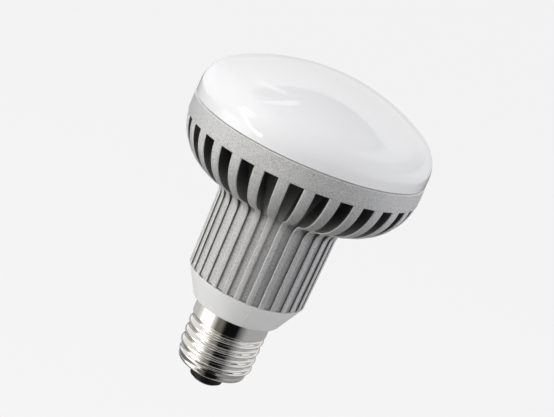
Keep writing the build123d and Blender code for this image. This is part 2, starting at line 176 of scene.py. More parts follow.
parting_points = []
parting_faces = []
for side in range(2):
    azimuth = PARTING_AZIMUTH + side * pi
    start = len(parting_points)
    for step in range(PARTING_STEPS + 1):
        share = PARTING_START + PARTING_SPAN * step / PARTING_STEPS
        radius = COLLAR_BASE_RADIUS + share * (COLLAR_TOP_RADIUS - COLLAR_BASE_RADIUS)
        height = COLLAR_BOTTOM + share * (COLLAR_TOP - COLLAR_BOTTOM)
        proud = PARTING_PROUD * sin(pi * step / PARTING_STEPS) ** 0.5
        section = (
            (-PARTING_HALF_FOOT, -PARTING_SINK),
            (-PARTING_HALF_CREST, proud),
            (PARTING_HALF_CREST, proud),
            (PARTING_HALF_FOOT, -PARTING_SINK),
        )
        for aside, lift in section:
            angle = azimuth + aside / radius
            reach = radius + lift
            parting_points.append((reach * cos(angle), reach * sin(angle), height - lift * CONE_TILT))
    for step in range(PARTING_STEPS):
        row = start + step * PARTING_CORNERS
        above = row + PARTING_CORNERS
        for edge in range(PARTING_CORNERS):
            after = (edge + 1) % PARTING_CORNERS
            parting_faces.append((row + edge, row + after, above + after, above + edge))
    end = start + PARTING_STEPS * PARTING_CORNERS
    parting_faces.append((start + 3, start + 2, start + 1, start))
    parting_faces.append((end, end + 1, end + 2, end + 3))
piece("collar_parting_line", parting_points, parting_faces, white_moulding)

# Driver: a green glass-epoxy board upright in the tube, with its components soldered to both faces.
# It is hidden once the lamp is closed, and each component keeps the colour of its kind.
green_mask = finish(
    "green solder mask",
    (0.05, 0.22, 0.10),
    roughness=0.30, scale=700, mottle=0.15, spread=0.10, relief=0.25,
)
black_resin = finish(
    "moulded black resin",
    (0.035, 0.035, 0.037),
    roughness=0.55, scale=1500, mottle=0.20, spread=0.12, relief=0.30,
)
red_film = finish(
    "dipped red film",
    (0.45, 0.05, 0.04),
    roughness=0.25, scale=500, mottle=0.10, spread=0.08, relief=0.20,
    sockets={"Coat Weight": 0.3},
)
blue_dip = finish(
    "dipped blue ceramic",
    (0.06, 0.18, 0.46),
    roughness=0.28, scale=500, mottle=0.12, spread=0.08, relief=0.20,
    sockets={"Coat Weight": 0.3},
)
can_sleeve = finish(
    "shrunk can sleeve",
    (0.08, 0.08, 0.11),
    roughness=0.35, scale=600, mottle=0.12, spread=0.10, relief=0.15,
)
ferrite = finish(
    "sintered ferrite",
    (0.09, 0.09, 0.09),
    roughness=0.62, scale=1800, mottle=0.25, spread=0.15, relief=0.40,
)
copper_wire = finish(
    "enamelled copper",
    (0.55, 0.25, 0.11),
    roughness=0.32, scale=1200, mottle=0.20, spread=0.12, relief=0.30,
    sockets={"Metallic": 0.8},
)
dress("driver_board", green_mask)
dress("bridge_rectifier", black_resin)
dress("control_chip", black_resin)
dress("fuse_resistor", blue_dip)
dress("film_capacitor", red_film)
dress("safety_capacitor", blue_dip)
dress("bulk_capacitor", can_sleeve)
dress("output_capacitor", can_sleeve)
dress("choke", ferrite)
dress("transformer_core", ferrite)
dress("transformer_bobbin", black_resin)
dress("transformer_winding", copper_wire)

# Leads: stranded copper in coloured insulation, cut to length. Two run from the cap to the driver and
# two from the driver up to the light board.
red_wire = finish(
    "red insulation",
    (0.52, 0.05, 0.04),
    roughness=0.40, scale=900, mottle=0.10, spread=0.10, relief=0.12,
)
black_wire = finish(
    "black insulation",
    (0.045, 0.045, 0.05),
    roughness=0.42, scale=900, mottle=0.12, spread=0.10, relief=0.12,
)
dress("live_lead", red_wire)
dress("neutral_lead", black_wire)
dress("positive_lead", red_wire)
dress("negative_lead", black_wire)

# Driver lid: an insulating disc cut from white sheet, laid on the step at the top of the tube. It keeps
# the driver apart from the mounting plate above it.
dress("driver_lid", white_moulding)

# Screw shell: drawn from thin brass, its round thread rolled in, then plated with bright nickel. The
# plain band above the thread goes up into the collar, and the mouth is rolled in over the insulator.
SHELL_WALL = 0.4
MOUTH_RADIUS = 6.4
MOUTH_HEIGHT = 3.3
MOUTH_EDGE = 0.05
LIP_OUT = 0.28
LIP_UP = 0.30
LIP_RADIUS = 0.33
LIP_START = -66
LIP_TURN = -20
LIP_STEPS = 8
SHOULDER_SLOPE = 24.0
SHOULDER_ROUND = 1.3
SHOULDER_STEPS = 10
THREAD_BOTTOM = 6.5
THREAD_TOP = 22.8305
THREAD_PITCH = 3.629
THREAD_CREST = 13.1
THREAD_ROOT = 12.0
THREAD_START = 0.2
THREAD_RUN_IN = 3.2
THREAD_RUN_OUT = 1.5
CREST_AT_ZERO = 20.43
ROWS_PER_PITCH = 24
BAND_HEIGHT = 5.1
BAND_TOP = 30.4305
ENTRY_RADIUS = 12.9
ENTRY_STEP = 0.2
SHELL_TURNS = 240


def rounded(corners, steps=6):
    """An outline through corners of radius, height and rounding, with the round ones as arcs."""
    outline = []
    count = len(corners)
    for index, (radius, height, rounding) in enumerate(corners):
        here = Vector((radius, height))
        if not rounding:
            outline.append(here)
            continue
        back = Vector(corners[index - 1][:2]) - here
        ahead = Vector(corners[(index + 1) % count][:2]) - here
        back.normalize()
        ahead.normalize()
        half = back.angle(ahead) / 2
        middle = (back + ahead).normalized()
        center = here + middle * (rounding / sin(half))
        first = here + back * (rounding / tan(half)) - center
        last = here + ahead * (rounding / tan(half)) - center
        sweep = atan2(first.x * last.y - first.y * last.x, first.dot(last))
        for step in range(steps + 1):
            angle = sweep * step / steps
            across = first.x * cos(angle) - first.y * sin(angle)
            along = first.x * sin(angle) + first.y * cos(angle)
            outline.append(center + Vector((across, along)))
    return outline


def smooth(share):
    """An even ramp from 0 to 1."""
    share = min(max(share, 0), 1)
    return share * share * (3 - 2 * share)


def thread_radius(height, azimuth):
    """The outer radius of the thread at a height and azimuth: tangent rounds at the crest and the root."""
    depth = THREAD_CREST - THREAD_ROOT
    rounding = (THREAD_PITCH**2 / 4 + depth**2) / (4 * depth)
    turn = (height - CREST_AT_ZERO) / THREAD_PITCH - azimuth / (2 * pi)
    off = abs(turn - round(turn)) * THREAD_PITCH
    if off < THREAD_PITCH / 4:
        radius = THREAD_CREST - rounding + sqrt(rounding**2 - off**2)
    else:
        radius = THREAD_ROOT + rounding - sqrt(rounding**2 - (THREAD_PITCH / 2 - off) ** 2)
    fade_in = smooth((height - THREAD_BOTTOM - THREAD_START) / THREAD_RUN_IN)
    fade_out = smooth((THREAD_TOP - height) / THREAD_RUN_OUT)
    radius = THREAD_ROOT + (radius - THREAD_ROOT) * fade_in
    return THREAD_CREST - (THREAD_CREST - radius) * fade_out


def shell_skin(inset):
    """The rows of one skin of the shell from the mouth to the entry, as radius and height.

    The radius is None on the thread, where it changes round the row.
    """
    rise = tan(radians(SHOULDER_SLOPE))
    lift = inset / cos(radians(SHOULDER_SLOPE))
    root = THREAD_ROOT - inset
    corner = MOUTH_HEIGHT + lift + (root - MOUTH_RADIUS) * rise
    shoulder = rounded(
        [
            (MOUTH_RADIUS + MOUTH_EDGE, MOUTH_HEIGHT + lift + MOUTH_EDGE * rise, 0),
            (root, corner, SHOULDER_ROUND),
            (root, THREAD_BOTTOM, 0),
        ],
        SHOULDER_STEPS,
    )[:-1]
    rows = [(point.x, point.y) for point in shoulder]
    thread_height = THREAD_TOP - THREAD_BOTTOM
    steps = ceil(thread_height / THREAD_PITCH * ROWS_PER_PITCH)
    rows += [(None, THREAD_BOTTOM + thread_height * step / steps) for step in range(steps + 1)]
    for share in (0.25, 0.5, 0.75, 1.0):
        rows.append((THREAD_CREST - inset, THREAD_TOP + share * BAND_HEIGHT))
    rows.append((ENTRY_RADIUS - inset, COLLAR_BOTTOM + ENTRY_STEP))
    rows.append((ENTRY_RADIUS - inset, BAND_TOP))
    return rows


outer_rows = [(radius, height, 0) for radius, height in shell_skin(0)]
inner_rows = [(radius, height, SHELL_WALL) for radius, height in shell_skin(SHELL_WALL)]
lip_rows = []
for step in range(LIP_STEPS + 1):
    angle = radians(LIP_START + LIP_TURN * step)
    radius = MOUTH_RADIUS + LIP_OUT + LIP_RADIUS * cos(angle)
    height = MOUTH_HEIGHT + LIP_UP + LIP_RADIUS * sin(angle)
    lip_rows.append((radius, height, 0))
shell_loop = lip_rows[::-1] + outer_rows + inner_rows[::-1]
shell_points = []
for radius, height, inset in shell_loop:
    for step in range(SHELL_TURNS):
        azimuth = 2 * pi * step / SHELL_TURNS
        reach = thread_radius(height, azimuth) - inset if radius is None else radius
        shell_points.append((reach * cos(azimuth), reach * sin(azimuth), height))


def ring_faces(rows, turns):
    """Quads between the rows of a closed loop turned about the axis."""
    faces = []
    for row in range(rows):
        after = (row + 1) % rows
        for step in range(turns):
            beside = (step + 1) % turns
            faces.append(
                (row * turns + step, row * turns + beside, after * turns + beside, after * turns + step)
            )
    return faces


nickel = finish(
    "bright nickel plate",
    (0.80, 0.785, 0.75),
    roughness=0.075, scale=420, mottle=0.05, spread=0.06, relief=0.05,
    sockets={"Metallic": 1.0},
)
shell_faces = ring_faces(len(shell_loop), SHELL_TURNS)
screw_shell = piece("rolled_screw_shell", shell_points, shell_faces, nickel)
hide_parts("screw_shell")

# Insulator: black vitreous moulding that fills the mouth of the shell and keeps it from the contact.
# The lip of the shell is rolled in over its edge.
black_glass = finish(
    "black insulator",
    (0.008, 0.008, 0.010),
    roughness=0.35, scale=800, mottle=0.25, spread=0.15, relief=0.25,
    sockets={"Specular IOR Level": 0.2},
)
dress("insulator", black_glass)

# Centre contact: a brass rivet through the middle of the insulator, tinned where the live lead is
# soldered to its stem. Its flat head is the tip of the cap.
tinned_brass = finish(
    "dull tinned brass",
    (0.30, 0.28, 0.24),
    roughness=0.45, scale=600, mottle=0.12, spread=0.15, relief=0.20,
    sockets={"Metallic": 1.0},
)
dress("centre_contact", tinned_brass)

# Heat sink: one aluminium die casting, blasted and lacquered silver. Thirty fins run from the rim round
# the belly and down the neck as low ribs; every outer edge has the small round of the die. The walls of
# the fins and the floors of the gaps are darkened with painted shade; the rim's top edge and the rounds
# of the fins are lightened with wear and a painted highlight.
NECK_BOTTOM = 38.0305
RIM_BOTTOM = 85.4305
RIM_TOP = 91.9305
RIM_RADIUS = 40.0
SEAT_HEIGHT = 89.4305
REBATE_RADIUS = 38.75
SEAT_INNER_RADIUS = 36.0
PLATE_BOTTOM = 79.4305
NECK_FOOT_RADIUS = 20.6
NECK_TOP_RADIUS = 21.0
NECK_TAPER = 0.4
RIB_HEIGHT = 0.75
FOOT_RING_IN = 0.05
FOOT_RING_HEIGHT = 0.15
FOOT_RING_EDGE = 0.05
FOOT_RING_TOP = 0.4
CONE_FOOT = 66.6305
CONE_FOOT_ROUND = 3.0
CONE_TOP_RADIUS = 36.3
CONE_TOP_ROUND = 0.5
RIM_LOWER_EDGE = 0.3
RIM_UPPER_EDGE = 0.55
REBATE_EDGE = 0.15
SEAT_EDGE = 0.2
BOWL_WALL = 2.2
NECK_BORE_RADIUS = 17.55
NECK_BORE_EDGE = 1.0
PLATE_LEDGE = 2.6
PLATE_WALL_HEIGHT = 2.5
PLATE_WALL_EDGE = 0.5
LEDGE_UPPER_EDGE = 0.2
LEDGE_LOWER_EDGE = 0.5
BELLY_CENTER = (21.8, 86.9805)
BELLY_REACH = 18.0
NECK_FILLET = 6.0
FIN_COUNT = 30
FIN_HALF_ANGLE = radians(2.7)
FIN_EDGE = 0.36
FIN_EDGE_STEPS = 4
FIN_EDGE_MARGIN = 0.08
FIN_SINK = 0.4
FIN_DEPTH_LIMIT = 14
FIN_DEPTH_STEP = 0.05
WALL_SHARES = (1.0, 0.66, 0.33)
NECK_STEPS = 10
FILLET_STEPS = 16
BELLY_STEPS = 44
SINK_TURNS = 300

groove_radius = NECK_TOP_RADIUS - RIB_HEIGHT
cone_spread = (CONE_TOP_RADIUS - groove_radius) / (RIM_BOTTOM - CONE_FOOT)
bowl_inset = BOWL_WALL * hypot(1, cone_spread)
plate_wall_radius = groove_radius + (PLATE_BOTTOM - CONE_FOOT) * cone_spread - bowl_inset
ledge_radius = plate_wall_radius - PLATE_LEDGE


def bowl_height(radius):
    """The height at which the inside of the bowl reaches a radius."""
    return CONE_FOOT + (radius + bowl_inset - groove_radius) / cone_spread


core_outline = rounded(
    [
        (NECK_FOOT_RADIUS - FOOT_RING_IN, NECK_BOTTOM, 0),
        (NECK_FOOT_RADIUS - FOOT_RING_IN, NECK_BOTTOM + FOOT_RING_HEIGHT, FOOT_RING_EDGE),
        (NECK_FOOT_RADIUS - RIB_HEIGHT, NECK_BOTTOM + FOOT_RING_TOP, 0),
        (groove_radius, CONE_FOOT, CONE_FOOT_ROUND),
        (CONE_TOP_RADIUS, RIM_BOTTOM, CONE_TOP_ROUND),
        (RIM_RADIUS, RIM_BOTTOM, RIM_LOWER_EDGE),
        (RIM_RADIUS, RIM_TOP, RIM_UPPER_EDGE),
        (REBATE_RADIUS, RIM_TOP, REBATE_EDGE),
        (REBATE_RADIUS, SEAT_HEIGHT, 0),
        (SEAT_INNER_RADIUS, SEAT_HEIGHT, SEAT_EDGE),
        (plate_wall_radius, PLATE_BOTTOM + PLATE_WALL_HEIGHT, PLATE_WALL_EDGE),
        (plate_wall_radius, PLATE_BOTTOM, 0),
        (ledge_radius, PLATE_BOTTOM, LEDGE_UPPER_EDGE),
        (ledge_radius, bowl_height(ledge_radius), LEDGE_LOWER_EDGE),
        (NECK_BORE_RADIUS, bowl_height(NECK_BORE_RADIUS), NECK_BORE_EDGE),
        (NECK_BORE_RADIUS, NECK_BOTTOM, 0),
    ]
)

# Painted shade on the floor of the gaps, and the rim's top edge lightened with wear and a painted highlight.
GAP_FOOT_SHADE = 0.6
GAP_FOOT_LEAD = 0.5
GAP_FOOT_RUN = 2.5
GAP_DEEP_SHADE = 0.4
GAP_DEEP_RUN = 12
RIM_WEAR_AND_HIGHLIGHT = 0.7
RIM_WEAR_AND_HIGHLIGHT_WIDTH = 0.6
RIM_WEAR_AND_HIGHLIGHT_MARGIN = 0.01

sink_points = []
sink_painted_shade = []
sink_wear_and_highlight = []
for point in core_outline:
    # Painted shade on the floor of the gaps, growing towards the rim.
    gap_shade = 0
    if groove_radius < point.x < CONE_TOP_RADIUS:
        at_foot = smooth((point.y - CONE_FOOT + GAP_FOOT_LEAD) / GAP_FOOT_RUN)
        in_deep = smooth((point.y - CONE_FOOT) / GAP_DEEP_RUN)
        gap_shade = GAP_FOOT_SHADE * at_foot + GAP_DEEP_SHADE * in_deep
    # The rim's top edge is lightened: wear with a painted highlight.
    near_edge = RIM_TOP - RIM_UPPER_EDGE < point.y < RIM_TOP - RIM_WEAR_AND_HIGHLIGHT_MARGIN
    rim_edge_wear_and_highlight = RIM_WEAR_AND_HIGHLIGHT if near_edge and point.x > RIM_RADIUS - RIM_WEAR_AND_HIGHLIGHT_WIDTH else 0
    for step in range(SINK_TURNS):
        azimuth = 2 * pi * step / SINK_TURNS
        sink_points.append((point.x * cos(azimuth), point.x * sin(azimuth), point.y))
        sink_painted_shade.append(gap_shade)
        sink_wear_and_highlight.append(rim_edge_wear_and_highlight)
sink_faces = ring_faces(len(core_outline), SINK_TURNS)

belly_radius = hypot(BELLY_REACH, RIM_BOTTOM - BELLY_CENTER[1])
fillet_across = NECK_TOP_RADIUS + NECK_FILLET - BELLY_CENTER[0]
fillet_drop = sqrt((belly_radius + NECK_FILLET) ** 2 - fillet_across**2)
fillet_center = (NECK_TOP_RADIUS + NECK_FILLET, BELLY_CENTER[1] - fillet_drop)
belly_start = atan2(-fillet_drop, fillet_across)
belly_end = asin((RIM_BOTTOM + FIN_SINK - BELLY_CENTER[1]) / belly_radius)
fin_stations = []
for step in range(NECK_STEPS):
    share = step / NECK_STEPS
    radius = NECK_FOOT_RADIUS + share * (NECK_TOP_RADIUS - NECK_FOOT_RADIUS)
    fin_stations.append((radius, NECK_BOTTOM + share * (fillet_center[1] - NECK_BOTTOM), 1.0, 0.0))
for step in range(FILLET_STEPS):
    angle = pi + belly_start * step / FILLET_STEPS
    out = (-cos(angle), -sin(angle))
    radius = fillet_center[0] - NECK_FILLET * out[0]
    fin_stations.append((radius, fillet_center[1] - NECK_FILLET * out[1], *out))
for step in range(BELLY_STEPS + 1):
    angle = belly_start + (belly_end - belly_start) * step / BELLY_STEPS
    out = (cos(angle), sin(angle))
    radius = BELLY_CENTER[0] + belly_radius * out[0]
    fin_stations.append((radius, BELLY_CENTER[1] + belly_radius * out[1], *out))


def floor_depth(radius, height, out_radius, out_height):
    """How deep a fin's wall goes below its outer face before it is sunk into the floor of the gap."""
    depth = RIB_HEIGHT
    while depth < FIN_DEPTH_LIMIT:
        at_radius = radius - depth * out_radius
        at_height = height - depth * out_height
        gap_floor = groove_radius
        if at_height < CONE_FOOT:
            gap_floor -= NECK_TAPER * (CONE_FOOT - at_height) / (CONE_FOOT - NECK_BOTTOM)
        else:
            gap_floor += (at_height - CONE_FOOT) * cone_spread
        if at_radius < gap_floor - FIN_SINK:
            break
        depth += FIN_DEPTH_STEP
    return depth


# Painted shade on the walls of the ribs and fins: more on the ribs and near the rim, less on the deep fins.
RIB_WALL_SHADE = 0.88
DEEP_FIN_SHADE_DROP = 0.24
DEEP_FIN = 1.4
DEEP_FIN_RUN = 2
UPPER_FIN_SHADE = 0.32
UPPER_FIN = 72
UPPER_FIN_RUN = 9
WALL_START = 0.85
WALL_RUN = 0.1

fin_rows = []
for radius, height, out_radius, out_height in fin_stations:
    depth = floor_depth(radius, height, out_radius, out_height)
    deep = smooth((depth - DEEP_FIN) / DEEP_FIN_RUN)
    half = []
    for share in WALL_SHARES:
        half.append((FIN_EDGE + share * (depth - FIN_EDGE), 0.0))
    half.append((FIN_EDGE + FIN_EDGE_MARGIN, 0.0))
    for step in range(FIN_EDGE_STEPS + 1):
        angle = radians(90 * step / FIN_EDGE_STEPS)
        half.append((FIN_EDGE * (1 - sin(angle)), FIN_EDGE * (1 - cos(angle))))
    row = []
    for below, in_from_edge in half:
        at_radius = radius - below * out_radius
        at_height = height - below * out_height
        turn = FIN_HALF_ANGLE - in_from_edge / at_radius
        # Painted shade on the walls, from just inside the edge round downwards: more near the rim, less on
        # deep fins.
        upper = smooth((at_height - UPPER_FIN) / UPPER_FIN_RUN)
        painted_shade = RIB_WALL_SHADE - DEEP_FIN_SHADE_DROP * deep + UPPER_FIN_SHADE * upper
        painted_shade *= smooth((below - WALL_START * FIN_EDGE) / WALL_RUN)
        # The rounds of the fin edges are lightened: wear with a painted highlight.
        wear_and_highlight = 4 * (below / FIN_EDGE) * (1 - below / FIN_EDGE) if below < FIN_EDGE else 0
        row.append((at_radius, turn, at_height, painted_shade, wear_and_highlight))
    row += [(at_radius, -turn, *rest) for at_radius, turn, *rest in reversed(row)]
    fin_rows.append(row)
fin_corners = len(fin_rows[0])
for fin in range(FIN_COUNT):
    start = len(sink_points)
    middle = 2 * pi * fin / FIN_COUNT
    for row in fin_rows:
        for at_radius, turn, at_height, painted_shade, wear_and_highlight in row:
            azimuth = middle + turn
            sink_points.append((at_radius * cos(azimuth), at_radius * sin(azimuth), at_height))
            sink_painted_shade.append(painted_shade)
            sink_wear_and_highlight.append(wear_and_highlight)
    for station in range(len(fin_rows) - 1):
        here = start + station * fin_corners
        ahead = here + fin_corners
        for edge in range(fin_corners):
            after = (edge + 1) % fin_corners
            sink_faces.append((here + after, here + edge, ahead + edge, ahead + after))
    last = start + (len(fin_rows) - 1) * fin_corners
    sink_faces.append(tuple(range(start, start + fin_corners)))
    sink_faces.append(tuple(range(last + fin_corners - 1, last - 1, -1)))

silver_casting = finish(
    "silver lacquered casting",
    (0.66, 0.66, 0.655),
    roughness=0.34, scale=3500, mottle=1.5, spread=0.30, relief=1.0,
    sockets={"Metallic": 0.9}, depth=0.12,
)

# The tone of the painted shade, and the lighter tone of edge wear with a painted highlight.
PAINTED_SHADE_TONE = (0.085, 0.085, 0.088, 1)
WEAR_AND_HIGHLIGHT_TONE = (0.95, 0.95, 0.94, 1)
casting_tree = silver_casting.node_tree
lacquer = casting_tree.nodes["Principled BSDF"].inputs["Base Color"]
# The painted shade of the fin walls and gap floors is mixed into the lacquer's colour.
shade_share = casting_tree.nodes.new("ShaderNodeAttribute")
shade_share.attribute_name = "painted shade"
shaded = casting_tree.nodes.new("ShaderNodeMix")
shaded.data_type = "RGBA"
shaded.inputs["B"].default_value = PAINTED_SHADE_TONE
casting_tree.links.new(shade_share.outputs["Fac"], shaded.inputs["Factor"])
casting_tree.links.new(lacquer.links[0].from_socket, shaded.inputs["A"])
# Edge wear with a painted highlight lightens the fin rounds and the rim's top edge.
wear_and_highlight_share = casting_tree.nodes.new("ShaderNodeAttribute")
wear_and_highlight_share.attribute_name = "edge wear and highlight"
rubbed_and_lit = casting_tree.nodes.new("ShaderNodeMix")
rubbed_and_lit.data_type = "RGBA"
rubbed_and_lit.inputs["B"].default_value = WEAR_AND_HIGHLIGHT_TONE
casting_tree.links.new(wear_and_highlight_share.outputs["Fac"], rubbed_and_lit.inputs["Factor"])
casting_tree.links.new(shaded.outputs["Result"], rubbed_and_lit.inputs["A"])
casting_tree.links.new(rubbed_and_lit.outputs["Result"], lacquer)
heat_sink = piece("finned_heat_sink", sink_points, sink_faces, silver_casting)
painted_shade_attribute = heat_sink.data.attributes.new("painted shade", "FLOAT", "POINT")
painted_shade_attribute.data.foreach_set("value", sink_painted_shade)
wear_and_highlight_attribute = heat_sink.data.attributes.new("edge wear and highlight", "FLOAT", "POINT")
wear_and_highlight_attribute.data.foreach_set("value", sink_wear_and_highlight)
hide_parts("heat_sink")

# Mounting plate and thermal pad: a disc stamped from sheet on the ledge of the bowl, with a soft filled
# silicone sheet that carries the heat of the light board into it.
plain_aluminium = finish(
    "stamped aluminium",
    (0.70, 0.70, 0.71),
    roughness=0.34, scale=350, mottle=0.08, spread=0.15, relief=0.20,
    sockets={"Metallic": 1.0},
)
pad_silicone = finish(
    "filled silicone",
    (0.50, 0.55, 0.62),
    roughness=0.70, scale=900, mottle=0.10, spread=0.10, relief=0.30,
)
dress("mounting_plate", plain_aluminium)
dress("thermal_pad", pad_silicone)

# Light board: aluminium-core disc under white solder mask, with its LED packages in two rings. Each
# package is filled with yellow phosphor.
white_mask = finish(
    "white solder mask",
    (0.80, 0.80, 0.78),
    roughness=0.32, scale=600, mottle=0.05, spread=0.08, relief=0.15,
)
phosphor = finish(
    "LED phosphor",
    (0.85, 0.70, 0.22),
    roughness=0.35, scale=2200, mottle=0.12, spread=0.10, relief=0.25,
    sockets={"Coat Weight": 0.4},
)
dress("led_board", white_mask)
dress("led_packages", phosphor)

# Screws: zinc-plated steel, three that hold the light board and two that reach down into the housing.
# Their threads are hidden once they are driven home.
zinc = finish(
    "zinc plated steel",
    (0.58, 0.58, 0.60),
    roughness=0.34, scale=1400, mottle=0.15, spread=0.15, relief=0.30,
    sockets={"Metallic": 1.0},
)
dress("board_screws", zinc)
dress("housing_screws", zinc)

# Seal bead: clear silicone run by nozzle into the corner inside the rim. It bonds the diffuser and
# keeps dust and damp out of the bowl.
silicone = finish(
    "cured silicone",
    (0.74, 0.74, 0.72),
    roughness=0.36, scale=500, mottle=0.08, spread=0.12, relief=0.20,
)
dress("seal_bead", silicone)

# Diffuser: opal polycarbonate, moulded as a shallow dome with a polished outside. Its spigot is bonded
# into the rim, and a hair line of shadow is left where the skirt meets the rim.
DOME_RADIUS = 39.8
DOME_WALL = 2.0
DOME_KNUCKLE = 11.7
DOME_CROWN = 68.0
SKIRT_TOP = RIM_TOP + 2.8
SKIRT_BOTTOM = RIM_TOP + 0.1
SKIRT_EDGE = 0.15
SPIGOT_RADIUS = 38.6
KNUCKLE_STEPS = 24
CROWN_STEPS = 31
DOME_TURNS = 288

knuckle_radius = DOME_RADIUS - DOME_KNUCKLE
crown_drop = sqrt((DOME_CROWN - DOME_KNUCKLE) ** 2 - knuckle_radius**2)
crown_angle = atan2(crown_drop, knuckle_radius)


def dome_rows(inset):
    """One skin of the dome from the top of its skirt almost to the axis."""
    rows = []
    for step in range(KNUCKLE_STEPS + 1):
        angle = crown_angle * step / KNUCKLE_STEPS
        reach = DOME_KNUCKLE - inset
        rows.append((knuckle_radius + reach * cos(angle), SKIRT_TOP + reach * sin(angle)))
    for step in range(1, CROWN_STEPS):
        angle = crown_angle + (pi / 2 - crown_angle) * step / CROWN_STEPS
        reach = DOME_CROWN - inset
        rows.append((reach * cos(angle), SKIRT_TOP - crown_drop + reach * sin(angle)))
    return rows


skirt = rounded(
    [
        (DOME_RADIUS - DOME_WALL, SKIRT_TOP, 0),
        (DOME_RADIUS - DOME_WALL, SEAT_HEIGHT, 0),
        (SPIGOT_RADIUS, SEAT_HEIGHT, 0),
        (SPIGOT_RADIUS, SKIRT_BOTTOM, 0),
        (DOME_RADIUS, SKIRT_BOTTOM, SKIRT_EDGE),
        (DOME_RADIUS, SKIRT_TOP, 0),
    ]
)[1:-1]
dome_loop = dome_rows(DOME_WALL)[::-1] + [(point.x, point.y) for point in skirt] + dome_rows(0)
dome_points = []
for radius, height in dome_loop:
    for step in range(DOME_TURNS):
        azimuth = 2 * pi * step / DOME_TURNS
        dome_points.append((radius * cos(azimuth), radius * sin(azimuth), height))
dome_faces = []
for row in range(len(dome_loop) - 1):
    here = row * DOME_TURNS
    ahead = here + DOME_TURNS
    for step in range(DOME_TURNS):
        beside = (step + 1) % DOME_TURNS
        dome_faces.append((here + step, here + beside, ahead + beside, ahead + step))
inside_pole = len(dome_points)
dome_points.append((0, 0, SKIRT_TOP - crown_drop + DOME_CROWN - DOME_WALL))
dome_points.append((0, 0, SKIRT_TOP - crown_drop + DOME_CROWN))
top_row = (len(dome_loop) - 1) * DOME_TURNS
for step in range(DOME_TURNS):
    beside = (step + 1) % DOME_TURNS
    dome_faces.append((inside_pole, beside, step))
    dome_faces.append((inside_pole + 1, top_row + step, top_row + beside))

opal = finish(
    "opal polycarbonate",
    (0.785, 0.785, 0.80),
    roughness=0.09, scale=60, mottle=0.012, spread=0.03, relief=0.02,
    sockets={"Coat Weight": 0.3},
)
diffuser = piece("opal_diffuser_dome", dome_points, dome_faces, opal)
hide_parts("diffuser")

# Stage: a wide pale floor well below the lamp, which is shown free in the air, and the studio round it.
# The floor and the surroundings are seen as the plain pale background; cards shape the reflections.
FLOOR_HEIGHT = -300.0
FLOOR_REACH = 14.0
FLOOR_TONE = (0.93, 0.925, 0.93)
TONE_SHARE = 0.94
WORLD_TONE = (0.93, 0.93, 0.93)
AMBIENT_STRENGTH = 0.35


def pale(material_tree, output, tone, plain_shader, lit_shader=None):
    """Shows the pale tone to the camera, to gloss and through glass, and the plain shader to other light.

    A lit shader, where there is one, is laid under the tone, so that the shadow stays in the picture.
    """
    new = material_tree.nodes.new
    link = material_tree.links.new
    path = new("ShaderNodeLightPath")
    on_world = plain_shader.bl_idname == "ShaderNodeBackground"
    glow = new("ShaderNodeBackground" if on_world else "ShaderNodeEmission")
    glow.inputs["Color"].default_value = (*tone, 1)
    either = new("ShaderNodeMath")
    either.operation = "MAXIMUM"
    link(path.outputs["Is Camera Ray"], either.inputs[0])
    link(path.outputs["Is Glossy Ray"], either.inputs[1])
    shown = new("ShaderNodeMath")
    shown.operation = "MAXIMUM"
    link(either.outputs[0], shown.inputs[0])
    link(path.outputs["Is Transmission Ray"], shown.inputs[1])
    mix = new("ShaderNodeMixShader")
    link(shown.outputs[0], mix.inputs["Fac"])
    link(plain_shader.outputs[0], mix.inputs[1])
    link(mix.outputs[0], output.inputs["Surface"])
    if not lit_shader:
        link(glow.outputs[0], mix.inputs[2])
        return
    seen = new("ShaderNodeMixShader")
    seen.inputs["Fac"].default_value = TONE_SHARE
    link(lit_shader.outputs[0], seen.inputs[1])
    link(glow.outputs[0], seen.inputs[2])
    link(seen.outputs[0], mix.inputs[2])


floor_mesh = bpy.data.meshes.new("floor")
floor_mesh.from_pydata(
    [
        (-FLOOR_REACH, -FLOOR_REACH, FLOOR_HEIGHT * MM),
        (FLOOR_REACH, -FLOOR_REACH, FLOOR_HEIGHT * MM),
        (FLOOR_REACH, FLOOR_REACH, FLOOR_HEIGHT * MM),
        (-FLOOR_REACH, FLOOR_REACH, FLOOR_HEIGHT * MM),
    ],
    [],
    [(0, 1, 2, 3)],
)
floor = bpy.data.objects.new("floor", floor_mesh)
bpy.context.scene.collection.objects.link(floor)
floor_paper = bpy.data.materials.new("pale paper floor")
floor_paper.use_nodes = True
floor_tree = floor_paper.node_tree
floor_tree.nodes.remove(floor_tree.nodes["Principled BSDF"])
grey_paper = floor_tree.nodes.new("ShaderNodeBsdfDiffuse")
grey_paper.inputs["Color"].default_value = (0.5, 0.5, 0.5, 1)
white_paper = floor_tree.nodes.new("ShaderNodeBsdfDiffuse")
white_paper.inputs["Color"].default_value = (0.96, 0.96, 0.96, 1)
pale(floor_tree, floor_tree.nodes["Material Output"], FLOOR_TONE, grey_paper, white_paper)
floor_mesh.materials.append(floor_paper)

world = bpy.data.worlds.new("studio")
bpy.context.scene.world = world
world.use_nodes = True
world_tree = world.node_tree
ambient = world_tree.nodes["Background"]
ambient.inputs["Color"].default_value = (1.0, 1.0, 1.0, 1)
ambient.inputs["Strength"].default_value = AMBIENT_STRENGTH
pale(world_tree, world_tree.nodes["World Output"], WORLD_TONE, ambient)

CARD_STEPS = 120
AZIMUTH_SLACK = 0.001
CARD_RADIUS = 420
CARD_BOTTOM = -292
CARD_TOP = 340
UNDER_RADIUS = 70
CEILING_RADIUS = 500
CEILING_HEIGHT = 700


